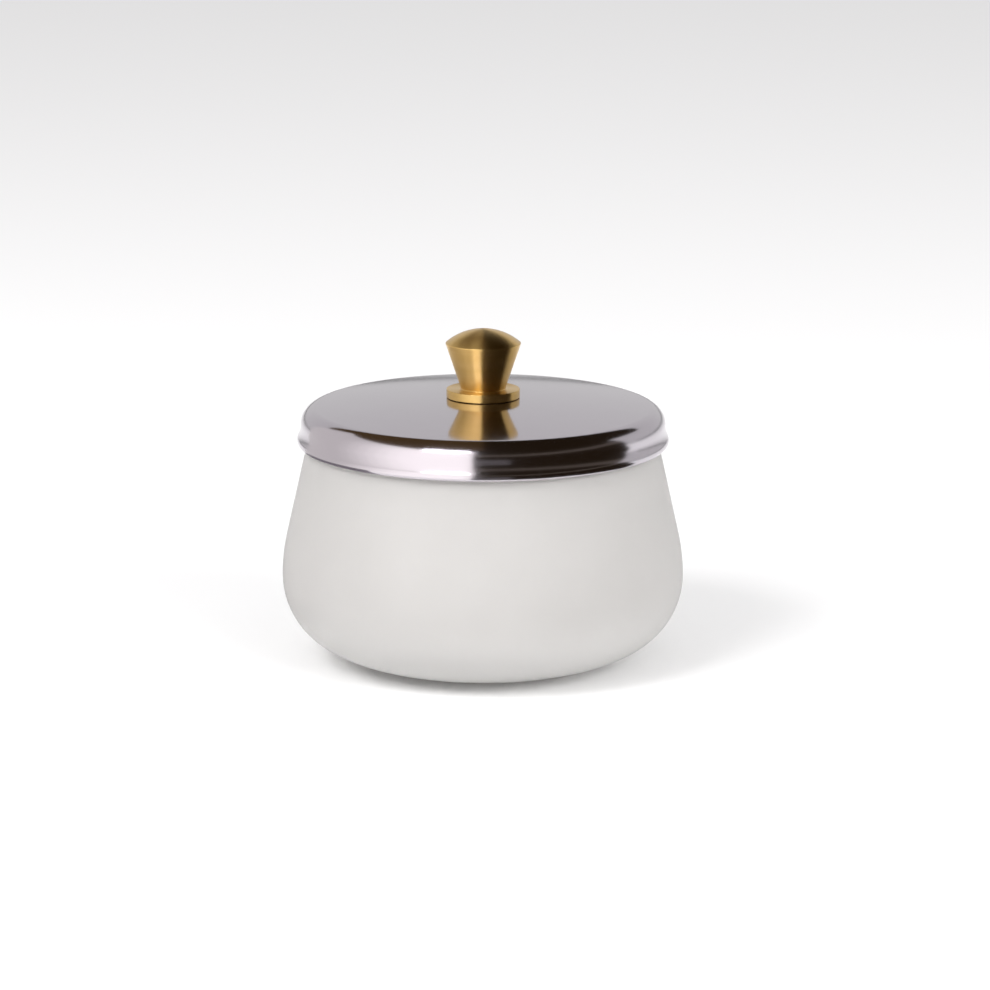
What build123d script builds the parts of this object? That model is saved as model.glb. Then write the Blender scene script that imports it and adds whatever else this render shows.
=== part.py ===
from build123d import *
import math
import os

# Dappen dish: a frosted glass bowl with a loose pressed-steel lid and a turned brass knob.
# Millimetres. The origin is the centre of the base on the surface that the dish stands on,
# +Z is the axis of every piece, and the whole dish is round about it.

# ---------------------------------------------------------------- driving dimensions

# Bowl, outside
belly_radius = 30.0  # widest ring of the bowl
belly_height = 13.0  # height of that ring above the base
bowl_height = 38.0  # top of the rim
foot_radius = 12.0  # outer edge of the flat ring that the bowl stands on
foot_rise = 1.4  # how far the lower belly's own arc stays above the base
shoulder_radius = 28.0  # arc from the belly up to the straight neck
neck_taper = 12.7  # lean of the neck, in degrees from upright
push_up_radius = 9.0  # hollow in the middle of the base
push_up_depth = 0.6

# Bowl, inside
wall = 3.0
floor_thickness = 5.0  # from the standing plane to the lowest point of the cavity
floor_rise = 1.2  # from there to the bottom of the cavity's corner arc
rim_edge_radius = 1.0

# Lid shell, one pressed sheet
sheet = 0.5
dome_radius = 220.0  # crown of the top panel
crest_radius = 2.6  # rounded edge that runs on from the panel
bead_radius = 0.9  # rolled bead at the bottom of the skirt
bead_sweep = 62.0  # degrees that the bead curls on, from its widest ring down to the lip
bead_projection = 0.53  # how far the bead stands out of the skirt
bead_fillet_radius = 3.0  # between the bead and the skirt
skirt_height = 2.3  # from the bead's widest ring up to the start of the rounded edge
lid_clearance = 0.83  # between the lip and the neck, measured outwards
lid_rest_gap = 0.05  # between the panel's underside and the rim
hole_clearance = 0.1  # the screw's thread in the lid's and the washer's holes

# Knob, turned from bar
collar_radius = 5.46
collar_height = 1.27
collar_chamfer = 0.12
stem_radius = 3.3  # cone where it leaves the collar
cone_height = 6.85
brow_radius = 5.62  # widest ring, where the cone meets the dome
brow_edge_radius = 0.15
dome_height = 2.1
bore_spare = 0.6  # depth of the threaded bore past the screw's tip
bore_point_angle = 118.0  # drill point

# Screw, M3 pan head, and its washer
thread_radius = 1.5
thread_clearance = 0.03
screw_length = 6.0
screw_chamfer = 0.3
head_radius = 2.8
head_height = 2.4
head_crown_radius = 5.0
recess_width = 0.8
recess_span = 3.2
recess_depth = 1.4
washer_radius = 3.5
washer_thickness = 0.5
washer_chamfer = 0.1

# ---------------------------------------------------------------- geometry helpers


def towards(start, end, distance):
    """The point at a distance from start on the line to end."""
    span = math.dist(start, end)
    return (
        start[0] + (end[0] - start[0]) * distance / span,
        start[1] + (end[1] - start[1]) * distance / span,
    )


def arc(centre, radius, start, end):
    """The shorter arc of a circle between two of its points, in the XZ plane."""
    middle = ((start[0] + end[0]) / 2, (start[1] + end[1]) / 2)
    top = towards(centre, middle, radius)
    return ThreePointArc((start[0], 0, start[1]), (top[0], 0, top[1]), (end[0], 0, end[1]))


def straight(start, end):
    return Line((start[0], 0, start[1]), (end[0], 0, end[1]))


def turned(edges):
    """The solid swept by a closed half-section about the Z axis."""
    return revolve(make_face(edges), Axis.Z)


# ---------------------------------------------------------------- bowl

taper = math.radians(neck_taper)
neck_start_height = belly_height + shoulder_radius * math.sin(taper)
neck_start_radius = belly_radius - shoulder_radius * (1 - math.cos(taper))


def neck_radius(height, inset=0.0):
    """Radius of the straight neck, or of a cone a given distance inside its surface."""
    outside = neck_start_radius - (height - neck_start_height) * math.tan(taper)
    return outside - inset / math.cos(taper)


def bowl_side(inset, lower_radius, height):
    """Upper outline from the widest ring to a height: shoulder arc, then the straight neck."""
    shoulder_centre = (belly_radius - shoulder_radius, belly_height)
    shoulder = shoulder_radius - inset
    neck_start = (
        shoulder_centre[0] + shoulder * math.cos(taper),
        belly_height + shoulder * math.sin(taper),
    )
    belly = (belly_radius - inset, belly_height)
    corner_centre = (belly[0] - lower_radius, belly_height)
    top = (neck_radius(height, inset), height)
    return belly, corner_centre, [
        arc(shoulder_centre, shoulder, belly, neck_start),
        straight(neck_start, top),
    ], top


def make_bowl():
    lower_radius = belly_height - foot_rise
    belly, lower_centre, outer_side, rim_outside = bowl_side(0.0, lower_radius, bowl_height)
    reach = lower_centre[0] - foot_radius
    foot_arc = (reach**2 / foot_rise + lower_radius + belly_height) / 2
    foot_centre = (foot_radius, foot_arc)
    foot_end = towards(foot_centre, lower_centre, foot_arc)
    foot = (foot_radius, 0.0)
    push_up = (push_up_radius**2 + push_up_depth**2) / (2 * push_up_depth)
    push_up_top = (0.0, push_up_depth)
    push_up_edge = (push_up_radius, 0.0)

    corner_radius = belly_height - floor_thickness - floor_rise
    inner_belly, corner_centre, inner_side, rim_inside = bowl_side(wall, corner_radius, bowl_height)
    floor_drop = floor_rise + corner_radius
    floor_arc = (floor_drop**2 - corner_radius**2 + corner_centre[0] ** 2) / (2 * floor_rise)
    floor_centre = (0.0, floor_thickness + floor_arc)
    floor_end = towards(floor_centre, corner_centre, floor_arc)
    floor_middle = (0.0, floor_thickness)

    outline = [
        straight(floor_middle, push_up_top),
        arc((0.0, push_up_depth - push_up), push_up, push_up_top, push_up_edge),
        straight(push_up_edge, foot),
        arc(foot_centre, foot_arc, foot, foot_end),
        arc(lower_centre, lower_radius, foot_end, belly),
        *outer_side,
        straight(rim_outside, rim_inside),
        *inner_side,
        arc(corner_centre, corner_radius, inner_belly, floor_end),
        arc(floor_centre, floor_arc, floor_end, floor_middle),
    ]
    bowl = turned(outline)
    rim_edges = bowl.edges().filter_by(GeomType.CIRCLE).group_by(Axis.Z)[-1]
    return fillet(rim_edges, rim_edge_radius)


# ---------------------------------------------------------------- lid shell

hole_radius = thread_radius + hole_clearance


def lid_layout():
    """Centres of the shell's arcs, placed by the rim that it rests on and the neck it clears."""
    # The rim's rounded outer edge is a circle; the panel's underside clears it by the gap.
    land_radius = neck_radius(bowl_height) - rim_edge_radius * math.tan((math.pi / 2 - taper) / 2)
    reach = dome_radius - sheet - lid_rest_gap - rim_edge_radius
    dome_centre = (0.0, bowl_height - rim_edge_radius - math.sqrt(reach**2 - land_radius**2))

    # The lip's inner corner clears the neck beside it. Its height follows the crowned panel,
    # which falls away as the skirt moves out, so the skirt is settled in a few rounds.
    lip_angle = math.radians(bead_sweep)
    lip_inner = bead_radius - sheet
    skirt = neck_radius(bowl_height)
    for _ in range(8):
        crest_middle = skirt - crest_radius
        crest_drop = math.sqrt((dome_radius - crest_radius) ** 2 - crest_middle**2)
        crest_centre = (crest_middle, dome_centre[1] + crest_drop)
        bead_height = crest_centre[1] - skirt_height
        lip_radius = neck_radius(bead_height - lip_inner * math.sin(lip_angle)) + lid_clearance
        skirt = lip_radius - lip_inner * math.cos(lip_angle) + bead_radius - bead_projection
    bead_centre = (skirt + bead_projection - bead_radius, bead_height)
    return dome_centre, crest_centre, bead_centre, skirt, lip_angle


def lid_side(inset):
    """Arcs of the shell from its hole to its lip, a given distance inside the outer face."""
    dome_centre, crest_centre, bead_centre, skirt, lip_angle = lid_layout()
    dome = dome_radius - inset
    crest = crest_radius - inset
    bead = bead_radius - inset
    bead_fillet = bead_fillet_radius + inset
    wall_radius = skirt - inset

    bead_fillet_radial = skirt + bead_fillet_radius
    reach = bead_radius + bead_fillet_radius
    bead_fillet_rise = math.sqrt(reach**2 - (bead_fillet_radial - bead_centre[0]) ** 2)
    bead_fillet_centre = (bead_fillet_radial, bead_centre[1] + bead_fillet_rise)

    hole = (hole_radius, dome_centre[1] + math.sqrt(dome**2 - hole_radius**2))
    crest_start = towards(dome_centre, crest_centre, dome)
    crest_end = (wall_radius, crest_centre[1])
    wall_end = (wall_radius, bead_fillet_centre[1])
    bead_start = towards(bead_centre, bead_fillet_centre, bead)
    bead_side = (bead_centre[0] + bead, bead_centre[1])
    lip = (
        bead_centre[0] + bead * math.cos(lip_angle),
        bead_centre[1] - bead * math.sin(lip_angle),
    )
    edges = [
        arc(dome_centre, dome, hole, crest_start),
        arc(crest_centre, crest, crest_start, crest_end),
        straight(crest_end, wall_end),
        arc(bead_fillet_centre, bead_fillet, wall_end, bead_start),
        arc(bead_centre, bead, bead_start, bead_side),
        arc(bead_centre, bead, bead_side, lip),
    ]
    return edges, hole, lip


def make_lid_shell():
    outer, outer_hole, outer_lip = lid_side(0.0)
    inner, inner_hole, inner_lip = lid_side(sheet)
    return turned([*outer, straight(outer_lip, inner_lip), *inner, straight(inner_hole, outer_hole)])


lid_centre_height = lid_layout()[0][1] + dome_radius  # top of the crowned panel on the axis


# ---------------------------------------------------------------- knob, screw and washer


def panel_underside(radius):
    """Height of the crowned panel's underside at a radius."""
    dome_centre = lid_layout()[0]
    return dome_centre[1] + math.sqrt((dome_radius - sheet) ** 2 - radius**2)


washer_top = panel_underside(washer_radius)
head_top = washer_top - washer_thickness
screw_tip = head_top + screw_length


def make_knob():
    base = lid_centre_height
    collar_top = base + collar_height
    brow_height = collar_top + cone_height
    dome = (brow_radius**2 + dome_height**2) / (2 * dome_height)
    dome_top = (0.0, brow_height + dome_height)
    stem = (stem_radius, collar_top)
    brow = (brow_radius, brow_height)
    profile = turned(
        [
            straight((0.0, base), (collar_radius, base)),
            straight((collar_radius, base), (collar_radius, collar_top)),
            straight((collar_radius, collar_top), stem),
            straight(stem, brow),
            arc((0.0, dome_top[1] - dome), dome, brow, dome_top),
            straight(dome_top, (0.0, base)),
        ]
    )
    circles = profile.edges().filter_by(GeomType.CIRCLE)
    brow_edge = circles.filter_by_position(Axis.Z, brow_height - 0.01, brow_height + 0.01)
    profile = fillet(brow_edge, brow_edge_radius)
    rings = profile.edges().filter_by(GeomType.CIRCLE)
    collar_edges = rings.filter_by(lambda ring: abs(ring.radius - collar_radius) < 0.01)
    profile = chamfer(collar_edges, collar_chamfer)

    bore = thread_radius + thread_clearance
    bore_end = screw_tip + bore_spare
    point = bore_end + bore / math.tan(math.radians(bore_point_angle / 2))
    drilled = turned(
        [
            straight((0.0, base), (bore, base)),
            straight((bore, base), (bore, bore_end)),
            straight((bore, bore_end), (0.0, point)),
            straight((0.0, point), (0.0, base)),
        ]
    )
    return profile - drilled


def make_washer():
    blank = Cylinder(washer_radius, washer_thickness, align=(Align.CENTER, Align.CENTER, Align.MAX))
    blank = chamfer(blank.edges().filter_by(GeomType.CIRCLE).group_by(Axis.Z)[0], washer_chamfer)
    hole = Cylinder(hole_radius, 3 * washer_thickness)
    return Pos(0, 0, washer_top) * (blank - hole)


def make_screw():
    """Pan head screw, pointing up into the knob, with a cross recess in its head."""
    head_bottom = head_top - head_height
    crown_edge = head_bottom + head_crown_radius - math.sqrt(head_crown_radius**2 - head_radius**2)
    screw = turned(
        [
            straight((0.0, screw_tip), (thread_radius - screw_chamfer, screw_tip)),
            straight(
                (thread_radius - screw_chamfer, screw_tip),
                (thread_radius, screw_tip - screw_chamfer),
            ),
            straight((thread_radius, screw_tip - screw_chamfer), (thread_radius, head_top)),
            straight((thread_radius, head_top), (head_radius, head_top)),
            straight((head_radius, head_top), (head_radius, crown_edge)),
            arc(
                (0.0, head_bottom + head_crown_radius),
                head_crown_radius,
                (head_radius, crown_edge),
                (0.0, head_bottom),
            ),
            straight((0.0, head_bottom), (0.0, screw_tip)),
        ]
    )
    slot = Pos(0, 0, head_bottom) * Box(recess_span, recess_width, 2 * recess_depth)
    return screw - slot - Rot(0, 0, 90) * slot


# ---------------------------------------------------------------- output

os.makedirs("parts", exist_ok=True)
export_step(make_bowl(), "parts/glass_bowl.step")
export_step(make_lid_shell(), "parts/lid_shell.step")
export_step(make_knob(), "parts/lid_knob.step")
export_step(make_washer(), "parts/knob_washer.step")
export_step(make_screw(), "parts/knob_screw.step")
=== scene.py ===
"""Looks of a frosted glass dish with a polished steel lid and a turned brass knob.

Sizes below are in millimetres and become metres in the meshes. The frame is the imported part's:
+Z up, the origin at the centre of the base, and every piece turned about +Z.
"""
import math

import bmesh
import bpy
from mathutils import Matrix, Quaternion, Vector


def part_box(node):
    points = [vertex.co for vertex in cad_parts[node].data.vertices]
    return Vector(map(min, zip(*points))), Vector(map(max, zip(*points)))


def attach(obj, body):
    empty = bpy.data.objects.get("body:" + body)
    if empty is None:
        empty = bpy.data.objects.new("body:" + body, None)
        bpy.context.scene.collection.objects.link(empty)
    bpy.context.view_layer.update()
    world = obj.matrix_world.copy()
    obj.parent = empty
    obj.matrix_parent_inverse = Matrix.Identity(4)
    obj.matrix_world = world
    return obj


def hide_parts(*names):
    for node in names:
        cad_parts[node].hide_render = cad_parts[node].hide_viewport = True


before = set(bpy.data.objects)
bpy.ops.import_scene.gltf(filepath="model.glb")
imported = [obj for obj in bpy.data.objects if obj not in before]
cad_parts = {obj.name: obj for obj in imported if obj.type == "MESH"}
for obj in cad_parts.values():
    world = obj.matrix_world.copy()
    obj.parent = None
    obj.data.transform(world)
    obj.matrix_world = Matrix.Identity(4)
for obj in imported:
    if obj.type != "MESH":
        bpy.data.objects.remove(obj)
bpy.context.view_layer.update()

MM = 0.001

# ---------------------------------------------------------------- sizes

# Bowl
BELLY_HEIGHT = 13.0
FOOT_RADIUS = 12.0
FOOT_RISE = 1.4
SHOULDER_RADIUS = 28.0
NECK_TAPER = 12.7
PUSH_UP_RADIUS = 9.0
PUSH_UP_DEPTH = 0.6
PUSH_UP_EDGE = 0.5
WALL = 3.0
FLOOR_THICKNESS = 5.0
FLOOR_RISE = 1.2
RIM_EDGE = 1.0

# Lid shell
SHEET = 0.5
DOME_RADIUS = 220.0
CREST_RADIUS = 2.6
BEAD_RADIUS = 0.9
BEAD_SWEEP = 62.0
BEAD_PROJECTION = 0.53
BEAD_FILLET = 3.0
SKIRT_HEIGHT = 2.3
LID_CLEARANCE = 0.83
LIP_EDGE = 0.22
HOLE_CLEARANCE = 0.1
HOLE_EDGE = 0.08

# Knob
COLLAR_RADIUS = 5.46
COLLAR_HEIGHT = 1.27
COLLAR_EDGE = 0.12
STEM_RADIUS = 3.3
STEM_FILLET = 0.12
CONE_HEIGHT = 6.85
BROW_RADIUS = 5.62
BROW_EDGE = 0.15
DOME_HEIGHT = 2.1
BORE_SPARE = 0.6
BORE_POINT = 118.0
BORE_MOUTH = 0.25
BORE_EDGE = 0.05

# Screw and washer
THREAD_RADIUS = 1.5
THREAD_CLEARANCE = 0.03
THREAD_PITCH = 0.5
THREAD_DEPTH = 0.28
THREAD_STEPS = 8
SCREW_CHAMFER = 0.3
HEAD_RADIUS = 2.8
HEAD_HEIGHT = 2.4
HEAD_CROWN = 5.0
HEAD_EDGE = 0.25
HEAD_BURR = 0.1
RECESS_WIDTH = 0.8
RECESS_SPAN = 3.2
RECESS_DEPTH = 1.4
RECESS_TAPER = 0.6
CUTTER_SPARE = 1.0
WASHER_EDGE = 0.1

# Fineness of the turned surfaces
SEGMENTS = 256
ARC_STEP = 5.0
RUN_STEP = 1.2

# ---------------------------------------------------------------- outlines
#
# A half-section is a list of strokes, run through with the material on the left. A stroke is a
# list of samples, each (radius, height, normal's radius, normal's height).


def arc(centre, radius, start, end):
    """Stroke along an arc between two angles in degrees. It bulges out where the angle grows."""
    length = radius * math.radians(abs(end - start))
    count = max(2, math.ceil(abs(end - start) / ARC_STEP), math.ceil(length / RUN_STEP))
    side = 1 if end > start else -1
    samples = []
    for i in range(count + 1):
        angle = math.radians(start + (end - start) * i / count)
        along, up = math.cos(angle), math.sin(angle)
        samples.append((centre[0] + radius * along, centre[1] + radius * up, side * along, side * up))
    return samples


def run(start, end):
    """Stroke along a straight run."""
    length = math.dist(start, end)
    normal = ((end[1] - start[1]) / length, (start[0] - end[0]) / length)
    count = max(1, math.ceil(length / RUN_STEP))
    samples = []
    for i in range(count + 1):
        share = i / count
        point = (start[0] + (end[0] - start[0]) * share, start[1] + (end[1] - start[1]) * share)
        samples.append((*point, *normal))
    return samples


def angle_to(centre, point):
    """Direction from one point to another, in degrees."""
    return math.degrees(math.atan2(point[1] - centre[1], point[0] - centre[0]))


def polar(centre, radius, angle):
    turn = math.radians(angle)
    return (centre[0] + radius * math.cos(turn), centre[1] + radius * math.sin(turn))


def runs(*corners):
    """Straight runs through (radius, height, rounding) corners, as strokes."""
    strokes = []
    here = corners[0][:2]
    for before, corner, after in zip(corners, corners[1:], corners[2:]):
        point, rounding = corner[:2], corner[2]
        into = angle_to(before, point)
        out = angle_to(point, after)
        turn = (out - into + 180) % 360 - 180
        cut = rounding * math.tan(math.radians(abs(turn)) / 2)
        begin = polar(point, cut, into + 180)
        strokes.append(run(here, begin))
        side = math.copysign(90, turn)
        centre = polar(begin, rounding, into + side)
        strokes.append(arc(centre, rounding, into - side, into - side + turn))
        here = polar(point, cut, out)
    strokes.append(run(here, corners[-1][:2]))
    return strokes


# ---------------------------------------------------------------- turned meshes


def lathe(name, outline, slots=None):
    """Mesh object swept by a half-section about Z, with the outline's own normals.

    slots gives each stroke's material slot; without it, all strokes are in the first one.
    """
    points, faces, normals, face_slots = [], [], [], []
    turns = [(math.cos(math.tau * j / SEGMENTS), math.sin(math.tau * j / SEGMENTS)) for j in range(SEGMENTS)]
    rings = {}

    def ring(radius, height):
        key = (round(radius, 4), round(height, 4))
        if key not in rings:
            first = len(points)
            if key[0] == 0:
                points.append((0, 0, height * MM))
                rings[key] = [first] * SEGMENTS
            else:
                points.extend((radius * c * MM, radius * s * MM, height * MM) for c, s in turns)
                rings[key] = list(range(first, first + SEGMENTS))
        return rings[key]

    for index, stroke in enumerate(outline):
        for low, high in zip(stroke, stroke[1:]):
            a, b = ring(*low[:2]), ring(*high[:2])
            if a is b:
                continue
            for j in range(SEGMENTS):
                k = (j + 1) % SEGMENTS
                corners = [(a[j], low, j), (a[k], low, k), (b[k], high, k), (b[j], high, j)]
                kept = [c for i, c in enumerate(corners) if c[0] != corners[i - 1][0]]
                faces.append([c[0] for c in kept])
                normals.extend((c[1][2] * turns[c[2]][0], c[1][2] * turns[c[2]][1], c[1][3]) for c in kept)
                face_slots.append(slots[index] if slots else 0)

    mesh = bpy.data.meshes.new(name)
    mesh.from_pydata(points, [], faces)
    mesh.polygons.foreach_set("material_index", face_slots)
    mesh.shade_smooth()
    mesh.normals_split_custom_set(normals)
    piece = bpy.data.objects.new(name, mesh)
    bpy.context.scene.collection.objects.link(piece)
    return piece


# ---------------------------------------------------------------- bowl

belly_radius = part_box("glass_bowl")[1].x / MM
bowl_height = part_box("glass_bowl")[1].z / MM
taper = math.radians(NECK_TAPER)
shoulder_centre = (belly_radius - SHOULDER_RADIUS, BELLY_HEIGHT)


def neck_radius(height, inset=0.0):
    """Radius of the straight neck, or of a cone a given distance inside its surface."""
    start = polar(shoulder_centre, SHOULDER_RADIUS - inset, NECK_TAPER)
    return start[0] - (height - start[1]) * math.tan(taper)


def make_bowl():
    lower = BELLY_HEIGHT - FOOT_RISE
    lower_centre = (belly_radius - lower, BELLY_HEIGHT)
    reach = lower_centre[0] - FOOT_RADIUS
    foot = (reach**2 / FOOT_RISE + lower + BELLY_HEIGHT) / 2
    foot_centre = (FOOT_RADIUS, foot)
    foot_end = angle_to(foot_centre, lower_centre)

    corner = BELLY_HEIGHT - FLOOR_THICKNESS - FLOOR_RISE
    corner_centre = (belly_radius - WALL - corner, BELLY_HEIGHT)
    drop = FLOOR_RISE + corner
    floor = (drop**2 - corner**2 + corner_centre[0] ** 2) / (2 * FLOOR_RISE)
    floor_centre = (0.0, FLOOR_THICKNESS + floor)
    floor_end = angle_to(floor_centre, corner_centre)

    # The hollow under the base ends in a small rounding on the standing ring.
    push_up = (PUSH_UP_RADIUS**2 + PUSH_UP_DEPTH**2) / (2 * PUSH_UP_DEPTH)
    push_up_centre = (0.0, PUSH_UP_DEPTH - push_up)
    edge_drop = push_up_centre[1] - PUSH_UP_EDGE
    edge_centre = (math.sqrt((push_up + PUSH_UP_EDGE) ** 2 - edge_drop**2), PUSH_UP_EDGE)
    edge_angle = angle_to(push_up_centre, edge_centre)

    outside = polar(shoulder_centre, SHOULDER_RADIUS, NECK_TAPER)
    inside = polar(shoulder_centre, SHOULDER_RADIUS - WALL, NECK_TAPER)
    rim = runs(
        outside,
        (neck_radius(bowl_height), bowl_height, RIM_EDGE),
        (neck_radius(bowl_height, WALL), bowl_height, RIM_EDGE),
        inside,
    )
    outline = [
        arc(push_up_centre, push_up, 90, edge_angle),
        arc(edge_centre, PUSH_UP_EDGE, edge_angle - 180, -90),
        run((edge_centre[0], 0.0), (FOOT_RADIUS, 0.0)),
        arc(foot_centre, foot, -90, foot_end),
        arc(lower_centre, lower, foot_end, 0),
        arc(shoulder_centre, SHOULDER_RADIUS, 0, NECK_TAPER),
        *rim,
        arc(shoulder_centre, SHOULDER_RADIUS - WALL, NECK_TAPER, 0),
        arc(corner_centre, corner, 0, floor_end),
        arc(floor_centre, floor, floor_end, -90),
    ]
    return lathe("frosted_bowl", outline)


# ---------------------------------------------------------------- lid shell


def lid_layout():
    """Centres of the shell's arcs, placed by the rim that it rests on and the neck it clears."""
    lid_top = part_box("lid_shell")[1].z / MM
    hole = THREAD_RADIUS + HOLE_CLEARANCE
    dome_centre = (0.0, lid_top - math.sqrt(DOME_RADIUS**2 - hole**2))
    lip_inner = BEAD_RADIUS - SHEET
    lip_angle = math.radians(BEAD_SWEEP)
    skirt = neck_radius(bowl_height)
    for _ in range(8):
        crest_middle = skirt - CREST_RADIUS
        drop = math.sqrt((DOME_RADIUS - CREST_RADIUS) ** 2 - crest_middle**2)
        crest_centre = (crest_middle, dome_centre[1] + drop)
        bead_height = crest_centre[1] - SKIRT_HEIGHT
        lip = neck_radius(bead_height - lip_inner * math.sin(lip_angle)) + LID_CLEARANCE
        skirt = lip - lip_inner * math.cos(lip_angle) + BEAD_RADIUS - BEAD_PROJECTION
    bead_centre = (skirt + BEAD_PROJECTION - BEAD_RADIUS, bead_height)
    return dome_centre, crest_centre, bead_centre, skirt


dome_centre, crest_centre, bead_centre, skirt_radius = lid_layout()
lid_crown = dome_centre[1] + DOME_RADIUS


def lid_face(inset):
    """Strokes of the outer face, from the lip to the hole, or of a face a distance inside it."""
    hole = THREAD_RADIUS + HOLE_CLEARANCE + HOLE_EDGE
    bead_fillet_radial = skirt_radius + BEAD_FILLET
    reach = BEAD_RADIUS + BEAD_FILLET
    rise = math.sqrt(reach**2 - (bead_fillet_radial - bead_centre[0]) ** 2)
    bead_fillet_centre = (bead_fillet_radial, bead_centre[1] + rise)
    bead_start = angle_to(bead_centre, bead_fillet_centre)
    crest_start = angle_to(dome_centre, crest_centre)
    dome = DOME_RADIUS - inset
    hole_angle = math.degrees(math.acos(hole / dome))
    wall = skirt_radius - inset
    lip = -BEAD_SWEEP + math.degrees(LIP_EDGE / (BEAD_RADIUS - SHEET / 2))
    return [
        arc(bead_centre, BEAD_RADIUS - inset, lip, bead_start),
        arc(bead_fillet_centre, BEAD_FILLET + inset, bead_start + 180, 180),
        run((wall, bead_fillet_centre[1]), (wall, crest_centre[1])),
        arc(crest_centre, CREST_RADIUS - inset, 0, crest_start),
        arc(dome_centre, dome, crest_start, hole_angle),
    ]


def turned_back(strokes):
    """The same face run through the other way, with its normals facing the other way."""
    return [[(r, z, -nr, -nz) for r, z, nr, nz in reversed(stroke)] for stroke in reversed(strokes)]


def make_lid_shell():
    outer = lid_face(0.0)
    inner = turned_back(lid_face(SHEET))
    lip_outer, lip_inner = outer[0][0], inner[-1][-1]
    across = angle_to(lip_outer, lip_inner) + 180
    middle = ((lip_outer[0] + lip_inner[0]) / 2, (lip_outer[1] + lip_inner[1]) / 2)
    lip = arc(middle, SHEET / 2, across - 180, across)
    top, bottom = outer[-1][-1], inner[0][0]
    bore = THREAD_RADIUS + HOLE_CLEARANCE
    hole = runs(
        top,
        (bore, top[1], HOLE_EDGE / 2),
        (bore, bottom[1], HOLE_EDGE / 2),
        bottom,
    )
    outline = [*inner, lip, *outer, *hole]
    slots = [1] * len(inner) + [0] * (1 + len(outer)) + [1] * len(hole)
    return lathe("steel_lid", outline, slots)


# ---------------------------------------------------------------- knob

head_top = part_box("knob_washer")[0].z / MM
screw_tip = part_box("knob_screw")[1].z / MM
washer_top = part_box("knob_washer")[1].z / MM
washer_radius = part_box("knob_washer")[1].x / MM


def make_knob():
    collar_top = lid_crown + COLLAR_HEIGHT
    brow_height = collar_top + CONE_HEIGHT
    dome = (BROW_RADIUS**2 + DOME_HEIGHT**2) / (2 * DOME_HEIGHT)
    centre = (0.0, brow_height + DOME_HEIGHT - dome)
    bore = THREAD_RADIUS + THREAD_CLEARANCE
    bore_end = screw_tip + BORE_SPARE
    bore_tip = bore_end + bore / math.tan(math.radians(BORE_POINT / 2))

    # The brow's edge is a circle that touches the cone and the dome from inside.
    stem = (STEM_RADIUS, collar_top)
    lean = angle_to(stem, (BROW_RADIUS, brow_height))
    inside = polar(stem, BROW_EDGE, lean + 90)
    offset = Vector(inside) - Vector(centre)
    forward = Vector(polar((0.0, 0.0), 1.0, lean))
    along = offset.dot(forward)
    distance = -along + math.sqrt(along**2 - offset.length_squared + (dome - BROW_EDGE) ** 2)
    edge_centre = polar(inside, distance, lean)
    cone_end = polar(edge_centre, BROW_EDGE, lean - 90)
    edge_end = angle_to(centre, edge_centre)

    outline = [
        *runs(
            (0.0, bore_tip),
            (bore, bore_end, BORE_EDGE),
            (bore, lid_crown + BORE_MOUTH, BORE_EDGE),
            (bore + BORE_MOUTH, lid_crown, BORE_EDGE),
            (COLLAR_RADIUS, lid_crown, COLLAR_EDGE),
            (COLLAR_RADIUS, collar_top, COLLAR_EDGE),
            (*stem, STEM_FILLET),
            cone_end,
        ),
        arc(edge_centre, BROW_EDGE, lean - 90, edge_end),
        arc(centre, dome, edge_end, 90),
    ]
    return lathe("brass_knob", outline)


# ---------------------------------------------------------------- washer and screw


def make_washer():
    hole = THREAD_RADIUS + HOLE_CLEARANCE
    bottom = head_top
    middle = (hole + washer_radius) / 2
    outline = runs(
        (middle, bottom),
        (washer_radius, bottom, WASHER_EDGE),
        (washer_radius, washer_top, WASHER_EDGE),
        (hole, washer_top, WASHER_EDGE),
        (hole, bottom, WASHER_EDGE),
        (middle, bottom),
    )
    return lathe("steel_washer", outline)


def cut_thread(piece):
    """Draws the shank's surface in to a helical V thread, run out at both ends."""
    root_start, root_end = head_top + THREAD_PITCH, screw_tip - SCREW_CHAMFER
    for vertex in piece.data.vertices:
        radius = math.hypot(vertex.co.x, vertex.co.y)
        height = vertex.co.z / MM
        if not (head_top < height <= root_end and radius > 0.9 * THREAD_RADIUS * MM):
            continue
        turn = math.atan2(vertex.co.y, vertex.co.x) / math.tau
        phase = (height / THREAD_PITCH - turn) % 1.0
        run_out = min(1.0, max(0.0, height - head_top) / (root_start - head_top))
        shrink = 1 - run_out * THREAD_DEPTH * abs(2 * phase - 1) / THREAD_RADIUS
        vertex.co.x *= shrink
        vertex.co.y *= shrink


def make_recess_cutter(bottom):
    """Cross-shaped tapered plug that leaves the recess in the screw's head."""
    mesh = bpy.data.meshes.new("recess_cutter")
    build = bmesh.new()
    for turn in (0.0, math.pi / 2):
        corners = []
        for height, share in ((bottom - CUTTER_SPARE, 1.0), (bottom + RECESS_DEPTH, RECESS_TAPER)):
            for x, y in ((-1, -1), (1, -1), (1, 1), (-1, 1)):
                across = Vector((x * RECESS_SPAN / 2 * share, y * RECESS_WIDTH / 2 * share, 0))
                across.rotate(Quaternion((0, 0, 1), turn))
                corners.append(build.verts.new((across.x * MM, across.y * MM, height * MM)))
        build.faces.new(corners[3::-1])
        build.faces.new(corners[4:])
        for i in range(4):
            k = (i + 1) % 4
            build.faces.new((corners[i], corners[k], corners[4 + k], corners[4 + i]))
    build.to_mesh(mesh)
    build.free()
    cutter = bpy.data.objects.new("recess_cutter", mesh)
    bpy.context.scene.collection.objects.link(cutter)
    return cutter


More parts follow.
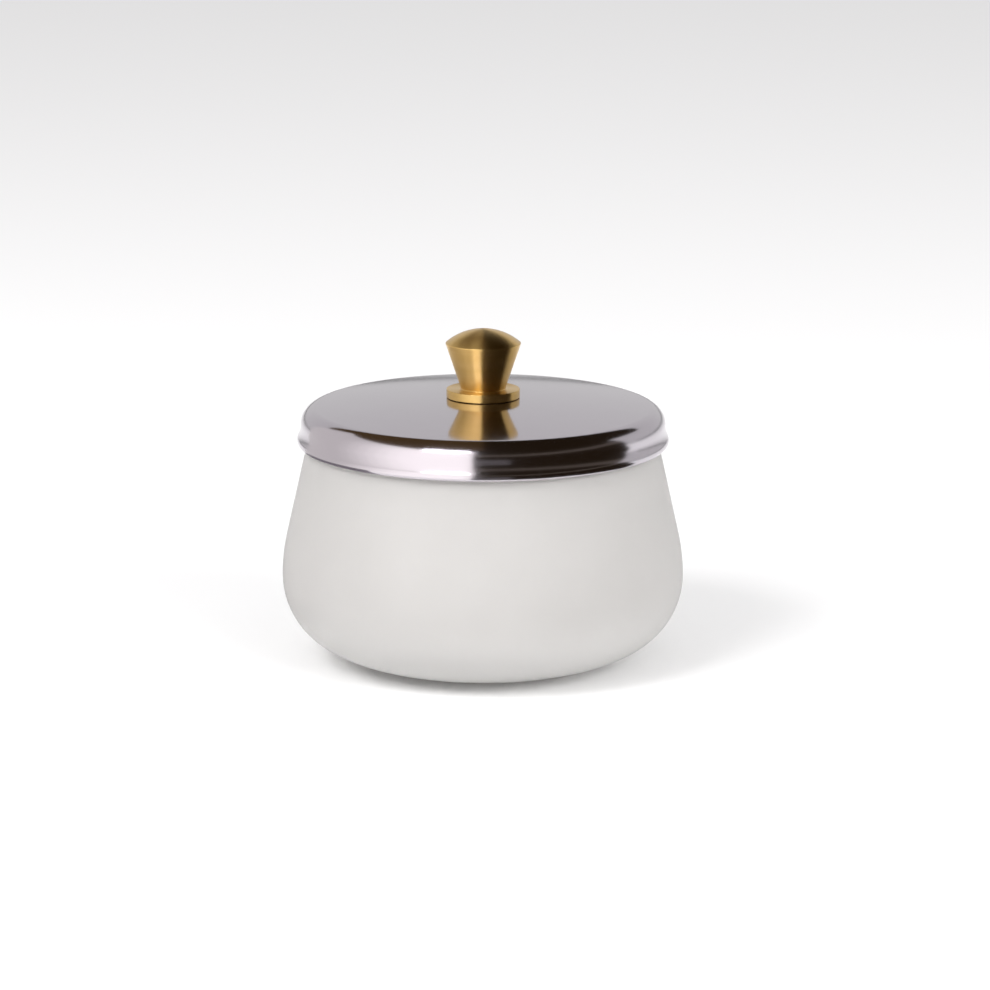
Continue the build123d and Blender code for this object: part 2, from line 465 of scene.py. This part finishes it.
def make_screw():
    bottom = head_top - HEAD_HEIGHT
    crown_centre = (0.0, bottom + HEAD_CROWN)
    crown_edge = -math.degrees(math.acos((HEAD_RADIUS - HEAD_EDGE) / (HEAD_CROWN - HEAD_EDGE)))
    edge_centre = polar(crown_centre, HEAD_CROWN - HEAD_EDGE, crown_edge)
    shank_end = screw_tip - SCREW_CHAMFER
    tip_radius = THREAD_RADIUS - SCREW_CHAMFER
    shank_count = math.ceil((screw_tip - head_top) / THREAD_PITCH) * THREAD_STEPS
    shank = [
        (THREAD_RADIUS, head_top + (shank_end - head_top) * i / shank_count, 1.0, 0.0)
        for i in range(shank_count + 1)
    ]
    outline = [
        arc(crown_centre, HEAD_CROWN, -90, crown_edge),
        arc(edge_centre, HEAD_EDGE, crown_edge, 0),
        *runs(
            (HEAD_RADIUS, edge_centre[1]),
            (HEAD_RADIUS, head_top, HEAD_BURR),
            (THREAD_RADIUS, head_top),
        ),
        shank,
        run((THREAD_RADIUS, shank_end), (tip_radius, screw_tip)),
        run((tip_radius, screw_tip), (0.0, screw_tip)),
    ]
    piece = lathe("steel_screw", outline)
    cut_thread(piece)
    cutter = make_recess_cutter(bottom)
    cut = piece.modifiers.new("recess", "BOOLEAN")
    cut.object = cutter
    cut.operation = "DIFFERENCE"
    cut.solver = "EXACT"
    cut.use_self = True
    graph = bpy.context.evaluated_depsgraph_get()
    mesh = bpy.data.meshes.new_from_object(piece.evaluated_get(graph))
    piece.modifiers.clear()
    piece.data = mesh
    bpy.data.objects.remove(cutter)
    return piece


# ---------------------------------------------------------------- materials


QUARTER_TURN = 0.25
# Height up to which the glass's base colour carries a painted glow
PAINTED_GLOW_TOP = 14.0
PANEL_EDGE = 24.6
WALL_START = 27.0


class Graph:
    """A material's node tree, with short calls to add and join nodes."""

    def __init__(self, name):
        self.material = bpy.data.materials.new(name)
        self.material.use_nodes = True
        self.tree = self.material.node_tree
        self.shader = self.tree.nodes["Principled BSDF"]
        self.place = self.node("ShaderNodeTexCoord").outputs["Object"]

    def node(self, kind, **settings):
        made = self.tree.nodes.new(kind)
        for name, value in settings.items():
            setattr(made, name, value)
        return made

    def join(self, output, socket):
        self.tree.links.new(output, socket)

    def feed(self, socket, value):
        if isinstance(value, bpy.types.NodeSocket):
            self.join(value, socket)
        else:
            socket.default_value = value

    def math(self, operation, *values):
        made = self.node("ShaderNodeMath", operation=operation)
        for socket, value in zip(made.inputs, values):
            self.feed(socket, value)
        return made.outputs[0]

    def noise(self, vector, grain, detail=3.0):
        """Noise whose grains are about that many millimetres across."""
        made = self.node("ShaderNodeTexNoise")
        self.join(vector, made.inputs["Vector"])
        made.inputs["Scale"].default_value = 1 / (grain * MM)
        made.inputs["Detail"].default_value = detail
        return made.outputs["Fac"]

    def between(self, factor, low, high):
        """Number from low to high as the factor goes from 0 to 1."""
        made = self.node("ShaderNodeMapRange")
        self.join(factor, made.inputs["Value"])
        made.inputs["To Min"].default_value = low
        made.inputs["To Max"].default_value = high
        return made.outputs["Result"]

    def blend(self, factor, low, high):
        """Colour from low to high as the factor goes from 0 to 1."""
        made = self.node("ShaderNodeMix", data_type="RGBA")
        self.join(factor, made.inputs["Factor"])
        self.feed(made.inputs["A"], (*low, 1) if isinstance(low, tuple) else low)
        self.feed(made.inputs["B"], (*high, 1) if isinstance(high, tuple) else high)
        return made.outputs["Result"]

    def mix(self, factor, low, high):
        """Number that goes from one input to the other."""
        made = self.node("ShaderNodeMix", data_type="FLOAT")
        self.join(factor, made.inputs["Factor"])
        self.feed(made.inputs["A"], low)
        self.feed(made.inputs["B"], high)
        return made.outputs["Result"]

    def rise(self, length, start, end):
        """From 0 to 1 between two lengths in millimetres, easing in and out."""
        made = self.node("ShaderNodeMapRange", interpolation_type="SMOOTHSTEP")
        self.join(length, made.inputs["Value"])
        made.inputs["From Min"].default_value = start * MM
        made.inputs["From Max"].default_value = end * MM
        return made.outputs["Result"]

    def split_place(self):
        split = self.node("ShaderNodeSeparateXYZ")
        self.join(self.place, split.inputs[0])
        return split.outputs

    def height(self):
        return self.split_place()["Z"]

    def radius(self):
        split = self.split_place()
        across = self.math("MULTIPLY", split["X"], split["X"])
        return self.math("SQRT", self.math("MULTIPLY_ADD", split["Y"], split["Y"], across))

    def turned_place(self):
        """Radius and height, so that noise on them makes rings like a lathe's tool marks."""
        joined = self.node("ShaderNodeCombineXYZ")
        self.join(self.radius(), joined.inputs["X"])
        self.join(self.height(), joined.inputs["Z"])
        return joined.outputs[0]

    def bump(self, height, depth, under=None):
        """Bump of that many millimetres, laid over another bump."""
        made = self.node("ShaderNodeBump")
        self.join(height, made.inputs["Height"])
        made.inputs["Distance"].default_value = depth * MM
        if under is not None:
            self.join(under, made.inputs["Normal"])
        return made.outputs["Normal"]

    def follow_turning(self, stretch):
        """Highlights stretch across the rings, as on anything polished in a lathe."""
        tangent = self.node("ShaderNodeTangent", direction_type="RADIAL", axis="Z")
        self.join(tangent.outputs[0], self.shader.inputs["Tangent"])
        self.shader.inputs["Anisotropic"].default_value = stretch
        self.shader.inputs["Anisotropic Rotation"].default_value = QUARTER_TURN


def frosted_glass():
    graph = Graph("frosted_glass")
    shader = graph.shader
    clouds = graph.noise(graph.place, 9.0, 2.0)
    etching = graph.noise(graph.place, 0.16, 4.0)
    waves = graph.noise(graph.place, 7.0, 1.0)
    milky = graph.blend(clouds, (0.735, 0.720, 0.705), (0.80, 0.785, 0.77))
    # Painted glow: the base colour turns lighter towards the bottom, standing in for light that shines
    # through the thick base
    above_painted_glow = graph.rise(graph.height(), 0.0, PAINTED_GLOW_TOP)
    graph.join(graph.blend(above_painted_glow, (0.93, 0.92, 0.905), milky), shader.inputs["Base Color"])
    graph.join(graph.between(clouds, 0.50, 0.62), shader.inputs["Roughness"])
    shader.inputs["IOR"].default_value = 1.5
    shader.inputs["Transmission Weight"].default_value = 0.55
    normal = graph.bump(waves, 0.05)
    graph.join(graph.bump(etching, 0.012, normal), shader.inputs["Normal"])
    return graph.material


def polished_steel():
    graph = Graph("polished_steel")
    shader = graph.shader
    rings = graph.noise(graph.turned_place(), 0.12, 4.0)
    smears = graph.noise(graph.place, 6.0, 4.0)
    graph.join(graph.blend(smears, (0.55, 0.515, 0.555), (0.58, 0.545, 0.585)), shader.inputs["Base Color"])
    panel = graph.between(smears, 0.07, 0.11)
    wall = graph.between(smears, 0.15, 0.22)
    outwards = graph.rise(graph.radius(), PANEL_EDGE, WALL_START)
    graph.join(graph.mix(outwards, panel, wall), shader.inputs["Roughness"])
    shader.inputs["Metallic"].default_value = 1.0
    graph.follow_turning(0.75)
    graph.join(graph.bump(rings, 0.0012), shader.inputs["Normal"])
    return graph.material


def pressed_steel():
    """The lid's inside, left as it came from the press."""
    graph = Graph("pressed_steel")
    shader = graph.shader
    rings = graph.noise(graph.turned_place(), 0.25, 4.0)
    grain = graph.noise(graph.place, 0.5, 3.0)
    graph.join(graph.blend(grain, (0.50, 0.485, 0.49), (0.58, 0.56, 0.57)), shader.inputs["Base Color"])
    graph.join(graph.between(grain, 0.24, 0.36), shader.inputs["Roughness"])
    shader.inputs["Metallic"].default_value = 1.0
    graph.follow_turning(0.4)
    graph.join(graph.bump(rings, 0.004), shader.inputs["Normal"])
    return graph.material


def turned_brass():
    graph = Graph("turned_brass")
    shader = graph.shader
    marks = graph.noise(graph.turned_place(), 0.14, 5.0)
    bands = graph.noise(graph.turned_place(), 1.1, 2.0)
    tarnish = graph.noise(graph.place, 2.4, 4.0)
    fresh = graph.blend(bands, (0.78, 0.52, 0.17), (0.89, 0.64, 0.28))
    graph.join(graph.blend(tarnish, (0.64, 0.42, 0.13), fresh), shader.inputs["Base Color"])
    graph.join(graph.between(tarnish, 0.30, 0.42), shader.inputs["Roughness"])
    shader.inputs["Metallic"].default_value = 1.0
    graph.follow_turning(0.85)
    graph.join(graph.bump(marks, 0.006), shader.inputs["Normal"])
    return graph.material


def fastener_steel():
    graph = Graph("fastener_steel")
    shader = graph.shader
    marks = graph.noise(graph.turned_place(), 0.1, 4.0)
    grain = graph.noise(graph.place, 0.8, 4.0)
    graph.join(graph.blend(grain, (0.46, 0.46, 0.45), (0.60, 0.60, 0.585)), shader.inputs["Base Color"])
    graph.join(graph.between(grain, 0.25, 0.40), shader.inputs["Roughness"])
    shader.inputs["Metallic"].default_value = 1.0
    graph.join(graph.bump(marks, 0.004), shader.inputs["Normal"])
    return graph.material


# ---------------------------------------------------------------- the pieces in place


def settle(piece, body, node, slot, *materials):
    for material in materials:
        piece.data.materials.append(material)
    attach(piece, body)
    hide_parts(node)


settle(make_bowl(), "bowl", "glass_bowl", "frosted_glass", frosted_glass())
settle(make_lid_shell(), "lid", "lid_shell", "polished_steel", polished_steel(), pressed_steel())
settle(make_knob(), "lid", "lid_knob", "turned_brass", turned_brass())
fasteners = fastener_steel()
settle(make_washer(), "lid", "knob_washer", "fastener_steel", fasteners)
settle(make_screw(), "lid", "knob_screw", "fastener_steel", fasteners)

# ---------------------------------------------------------------- studio

# Azimuths and elevations are in degrees: azimuth 0 is towards the camera and grows to its right.
# A pair is a start and an end, or a low and a high elevation.

FLOOR_SIZE = 3000.0
FLOOR_DROP = 0.02
LIGHT_DISTANCE = 900.0
WORLD_LIGHT = 0.68

CEILING_HEIGHT = 700.0
CEILING_FRONT = -900.0
CEILING_BACK = 850.0
CEILING_SIDE = 900.0
WARM_DARK = (0.080, 0.048, 0.020)
DARK = (0.020, 0.013, 0.007)

SCREEN_DISTANCE = 500.0
APRON_HEIGHT = 0.5
UPPER_APRON_HEIGHT = 1.0

CARD_STEP = 8.0
GLOW_TINT = (1.0, 0.97, 0.955)
GLOW_LOW = 0.80
GLOW_PEAK = 1.75
GLOW_REACH = (-135, -6)
GLOW_RISE = (-105, -35)
GLOW_BAND = (0, 46)
GLOW_FLOOR_START = 60.0

BRIGHT = (11.0, 11.0, 11.6)
BRIGHT_SIDE = (-44, -32, -20, -10)
BRIGHT_BAND = (44, 50)
BRIGHT_DISTANCE = 490.0

NEAR_FLOOR_SHADE = (0.24, 0.22, 0.245)
NEAR_SIDE = (-150, -120, -90, -66)
NEAR_FLOOR_RING = (36, 95)

HAZE = (0.13, 0.11, 0.09)
DARK_SIDE = (-6, 20, 46, 72, 98)
LOW_BAND = (0, 19)
HAZE_BAND = (19, 29)
HIGH_BAND = (29, 55)
GREY_FLOOR = (0.13, 0.12, 0.12)
GREY_SIDE = (-6, 5, 16)
DARK_FLOOR_START = 50.0

BACK_SIDE = (110, 145, 180, 215, 250)
BACKDROP_DISTANCE = 880.0
BACKDROP = ((-1.5, 2.2, 0.62), (2.2, 3.6, 0.42), (3.6, 4.8, 0.10))


def make_floor():
    mesh = bpy.data.meshes.new("floor")
    half, drop = FLOOR_SIZE / 2 * MM, -FLOOR_DROP * MM
    mesh.from_pydata(
        [(-half, -half, drop), (half, -half, drop), (half, half, drop), (-half, half, drop)],
        [],
        [(0, 1, 2, 3)],
    )
    material = bpy.data.materials.new("floor_paper")
    material.use_nodes = True
    shader = material.node_tree.nodes["Principled BSDF"]
    shader.inputs["Base Color"].default_value = (0.97, 0.97, 0.97, 1)
    shader.inputs["Roughness"].default_value = 0.9
    shader.inputs["Specular IOR Level"].default_value = 0.0
    mesh.materials.append(material)
    floor = bpy.data.objects.new("floor", mesh)
    bpy.context.scene.collection.objects.link(floor)


def around(azimuth, elevation, distance):
    """Point seen from the dish at an azimuth (0 towards the camera, growing to its right)."""
    a, e = math.radians(azimuth), math.radians(elevation)
    return Vector((math.sin(a) * math.cos(e), -math.cos(a) * math.cos(e), math.sin(e))) * distance


def make_card(name, corners, shade):
    """A card of set brightness that shows in reflections only, and keeps no light off the dish."""
    mesh = bpy.data.meshes.new(name)
    mesh.from_pydata([Vector(c) * MM for c in corners], [], [tuple(range(len(corners)))])
    material = bpy.data.materials.new(name)
    material.use_nodes = True
    shader = material.node_tree.nodes["Principled BSDF"]
    shader.inputs["Base Color"].default_value = (0, 0, 0, 1)
    shader.inputs["Specular IOR Level"].default_value = 0.0
    shader.inputs["Emission Color"].default_value = (*shade, 1)
    shader.inputs["Emission Strength"].default_value = 1.0
    mesh.materials.append(material)
    card = bpy.data.objects.new(name, mesh)
    bpy.context.scene.collection.objects.link(card)
    card.visible_camera = False
    card.visible_diffuse = False
    card.visible_transmission = False
    card.visible_shadow = False


def make_ceiling(name, left, right, shade):
    corners = [(left, CEILING_FRONT), (right, CEILING_FRONT), (right, CEILING_BACK), (left, CEILING_BACK)]
    make_card(name, [(x, y, CEILING_HEIGHT) for x, y in corners], shade)


def make_screen(name, azimuths, distance, band, shade):
    """Upright cards standing around the dish between two elevations, in one run of facets."""
    feet = [around(azimuth, 0, distance) for azimuth in azimuths]
    bottom, top = (distance * math.tan(math.radians(elevation)) for elevation in band)
    for index, (a, b) in enumerate(zip(feet, feet[1:])):
        corners = [(a.x, a.y, bottom), (b.x, b.y, bottom), (b.x, b.y, top), (a.x, a.y, top)]
        make_card(f"{name}_{index}", corners, shade)


def make_apron(name, azimuths, near, far, height, shade):
    """Level cards lying around the dish between two distances, in one run of facets."""
    for index, (a, b) in enumerate(zip(azimuths, azimuths[1:])):
        ring = [around(a, 0, near), around(b, 0, near), around(b, 0, far), around(a, 0, far)]
        make_card(f"{name}_{index}", [(c.x, c.y, height) for c in ring], shade)


def make_softbox(name, azimuth, elevation, size, power):
    """Oblong light aimed at the dish. The cards stand in for it in reflections."""
    data = bpy.data.lights.new(name, "AREA")
    data.shape = "RECTANGLE"
    data.size = size[0] * MM
    data.size_y = size[1] * MM
    data.energy = power
    light = bpy.data.objects.new(name, data)
    light.location = around(azimuth, elevation, LIGHT_DISTANCE) * MM
    light.rotation_mode = "QUATERNION"
    light.rotation_quaternion = (-around(azimuth, elevation, 1.0)).to_track_quat("-Z", "Y")
    bpy.context.scene.collection.objects.link(light)
    light.visible_camera = False
    light.visible_glossy = False


def make_world():
    world = bpy.data.worlds.new("studio")
    world.use_nodes = True
    background = world.node_tree.nodes["Background"]
    background.inputs["Color"].default_value = (1.0, 0.99, 0.995, 1)
    background.inputs["Strength"].default_value = WORLD_LIGHT
    bpy.context.scene.world = world
    bpy.context.scene.view_settings.view_transform = "Standard"


def make_glow():
    """Lit surroundings on the left. They brighten smoothly towards the camera."""
    first, last = GLOW_REACH
    count = math.ceil((last - first) / CARD_STEP)
    for index in range(count):
        side = [first + (last - first) * (index + share) / count for share in (0, 1)]
        share = min(1.0, max(0.0, (sum(side) / 2 - GLOW_RISE[0]) / (GLOW_RISE[1] - GLOW_RISE[0])))
        strength = GLOW_LOW + (GLOW_PEAK - GLOW_LOW) * share * share * (3 - 2 * share)
        shade = [strength * part for part in GLOW_TINT]
        make_screen(f"glow_{index}", side, SCREEN_DISTANCE, GLOW_BAND, shade)
        make_apron(f"glow_floor_{index}", side, GLOW_FLOOR_START, SCREEN_DISTANCE, APRON_HEIGHT, shade)


def make_dark_side():
    """Unlit surroundings on the right, with a faint haze across them."""
    make_screen("dark_low", DARK_SIDE, SCREEN_DISTANCE, LOW_BAND, DARK)
    make_screen("haze", DARK_SIDE, SCREEN_DISTANCE, HAZE_BAND, HAZE)
    make_screen("dark_high", DARK_SIDE, SCREEN_DISTANCE, HIGH_BAND, DARK)
    make_apron("dark_floor", DARK_SIDE, DARK_FLOOR_START, SCREEN_DISTANCE, APRON_HEIGHT, DARK)
    make_apron("grey_floor", GREY_SIDE, DARK_FLOOR_START, SCREEN_DISTANCE, UPPER_APRON_HEIGHT, GREY_FLOOR)


def make_backdrop():
    """The far edge of the floor, in bands that darken upwards."""
    for index, (low, high, grey) in enumerate(BACKDROP):
        make_screen(f"backdrop_{index}", BACK_SIDE, BACKDROP_DISTANCE, (low, high), (grey, grey, grey))


make_floor()
make_world()
make_ceiling("ceiling_left", -CEILING_SIDE, 0, WARM_DARK)
make_ceiling("ceiling_right", 0, CEILING_SIDE, DARK)
make_glow()
make_screen("bright", BRIGHT_SIDE, BRIGHT_DISTANCE, BRIGHT_BAND, BRIGHT)
# Grey card that stands in for the floor's shade next to the dish, seen in reflections only
make_apron("near_floor_shade", NEAR_SIDE, *NEAR_FLOOR_RING, UPPER_APRON_HEIGHT, NEAR_FLOOR_SHADE)
make_dark_side()
make_backdrop()
make_softbox("key_light", -44, 41, (420, 420), 4.8)
make_softbox("fill_light", 46, 28, (600, 400), 4.3)

# ---------------------------------------------------------------- camera

CAMERA_ELEVATION = 12.7
CAMERA_DISTANCE = 650.0
CAMERA_ROLL = 0.15
AIM = Vector((1.8, 0.0, 24.9))
VIEW_WIDTH = 148.0
SENSOR = 36.0

data = bpy.data.cameras.new("camera")
data.sensor_width = SENSOR
data.lens = SENSOR * CAMERA_DISTANCE / VIEW_WIDTH
camera = bpy.data.objects.new("camera", data)
camera.location = (AIM + around(0, CAMERA_ELEVATION, CAMERA_DISTANCE)) * MM
camera.rotation_mode = "QUATERNION"
facing = (-around(0, CAMERA_ELEVATION, 1.0)).to_track_quat("-Z", "Y")
camera.rotation_quaternion = facing @ Quaternion((0, 0, 1), math.radians(CAMERA_ROLL))
bpy.context.scene.collection.objects.link(camera)
bpy.context.scene.camera = camera
